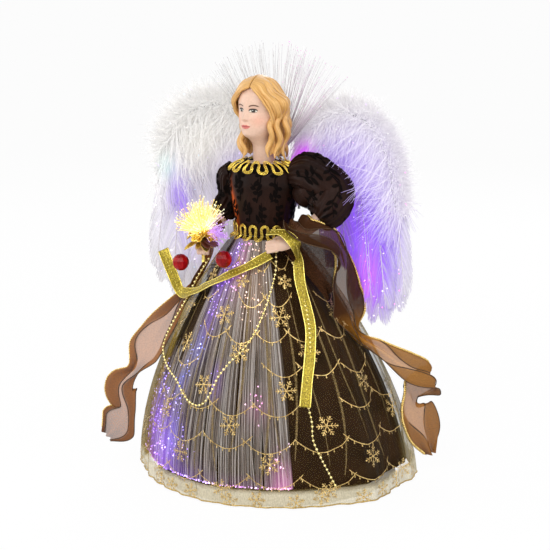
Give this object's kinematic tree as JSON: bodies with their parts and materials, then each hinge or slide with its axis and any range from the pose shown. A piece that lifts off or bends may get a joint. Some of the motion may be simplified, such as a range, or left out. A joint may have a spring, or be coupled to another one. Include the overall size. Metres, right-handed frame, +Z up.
{
  "type": "angel tree topper",
  "caption": "Doll angel on a hollow bell skirt that slips over a treetop, with folding feather wings and fibre-optic halo, bouquet and skirt panel lit from a battery lamp inside.",
  "frame": {"origin": "on the tree socket's axis, in the plane of the bell's rim that the topper stands on", "axes": "+Z up along the tree socket, -Y the way the angel faces, +X the angel's left"},
  "size_m": [0.2104, 0.183, 0.3004],
  "materials": {
    "form": "plain moulded",
    "moulding": "plain moulded",
    "board": "solder mask",
    "cell": "printed sleeve, unmarked",
    "wire": "drawn",
    "switch": "plain moulded",
    "lead": "smooth sheath",
    "taffeta": "woven, slight sheen",
    "flocked": "satin with flocked branches",
    "sheer": "organza with gold glitter print",
    "organza": "organza with gold wired edges",
    "skin": "painted",
    "hair": "combed waves",
    "braid": "metallic gold scroll braid",
    "ribbon": "gold glitter",
    "bead": "metallised gold",
    "foil": "gold foil",
    "fibre": "clear",
    "glow_fibre": "clear, lit",
    "feather": "soft vane",
    "marabou": "down",
    "berry": "faceted, clear red"
  },
  "bodies": {
    "topper": {"skirt_form": "form", "skirt": "taffeta", "overskirt": "sheer", "skirt_fibres": "fibre", "bulkhead": "moulding", "tree_socket": "moulding", "lamp_housing": "moulding", "lamp_board": "board", "fibre_ferrule": "moulding", "fibre_trunk": "fibre", "battery_box": "moulding", "door_pin": "wire", "cell_1": "cell", "cell_2": "cell", "cell_3": "cell", "power_lead": "lead", "torso_core": "moulding", "bodice": "flocked", "left_arm_wire": "wire", "right_arm_wire": "wire", "waist_braid": "braid", "collar_braid": "braid", "head": "skin", "hair": "hair", "left_hand": "skin", "right_hand": "skin", "left_sleeve": "flocked", "right_sleeve": "flocked", "halo_fibres": "fibre", "wing_bracket": "moulding", "stole_left": "organza", "stole_right": "organza", "ribbon_fall": "ribbon", "ribbon_swag": "ribbon", "bead_swag": "bead", "bead_fall": "bead", "bouquet_stem": "foil", "berry_1": "berry", "berry_2": "berry", "bouquet_fibres": "glow_fibre", "flower_1": "foil", "flower_2": "foil", "flower_3": "foil", "leaf_1": "foil", "leaf_2": "foil"},
    "left_wing": {"left_wing_frame": "wire", "left_feather_1": "feather", "left_feather_2": "feather", "left_feather_3": "feather", "left_feather_4": "feather", "left_marabou": "marabou"},
    "right_wing": {"right_wing_frame": "wire", "right_feather_1": "feather", "right_feather_2": "feather", "right_feather_3": "feather", "right_feather_4": "feather", "right_marabou": "marabou"},
    "door": {"battery_door": "moulding"},
    "switch": {"switch_slider": "switch"}
  },
  "joints": [
    {"name": "left_wing_fold", "type": "hinge", "parent": "topper", "child": "left_wing", "pos_m": [0.009, 0.014, 0.2], "axis": [0, 0, 1], "range_deg": [0, 35]},
    {"name": "right_wing_fold", "type": "hinge", "parent": "topper", "child": "right_wing", "pos_m": [-0.009, 0.014, 0.2], "axis": [0, 0, 1], "range_deg": [-35, 0]},
    {"name": "battery_door_swing", "type": "hinge", "parent": "topper", "child": "door", "pos_m": [0, 0.0457, 0.0227], "axis": [1, 0, 0], "range_deg": [0, 95]},
    {"name": "switch_slide", "type": "slide", "parent": "topper", "child": "switch", "axis": [1, 0, 0], "range_m": [0, 0.003]}
  ]
}
